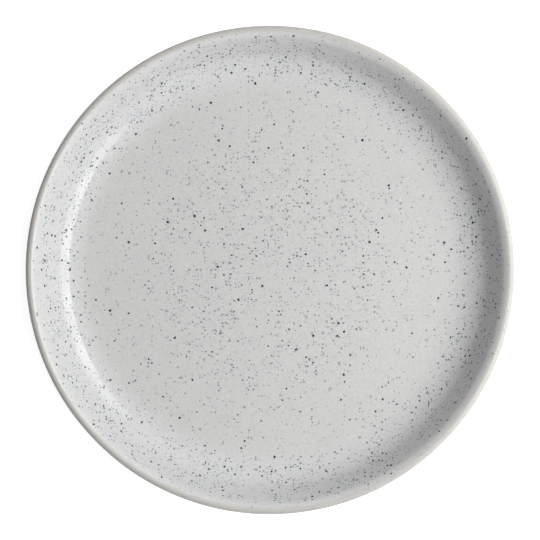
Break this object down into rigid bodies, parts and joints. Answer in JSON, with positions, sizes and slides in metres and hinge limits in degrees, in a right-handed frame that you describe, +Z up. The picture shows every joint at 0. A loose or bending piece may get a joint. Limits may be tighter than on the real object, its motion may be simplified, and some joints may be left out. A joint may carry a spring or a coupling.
{
  "type": "coupe dinner plate",
  "caption": "Round coupe dinner plate in speckled glazed stoneware: flat well, curved cove, short steep wall, rolled lip and a dry foot ring.",
  "frame": {"origin": "centre of the circle that the foot ring stands on", "axes": "+Z is up through the middle of the well; the plate is round, so +X and +Y are any two square directions"},
  "size_m": [0.26, 0.26, 0.03],
  "materials": {
    "stoneware": "bare fired stoneware, fine grained and matte, with iron specks",
    "glaze": "glossy off-white glaze with dark specks, taupe where it is thin over the lip"
  },
  "bodies": {
    "root": {"stoneware_body": "stoneware", "glaze_coat": "glaze", "recess_glaze": "glaze"}
  },
  "joints": []
}
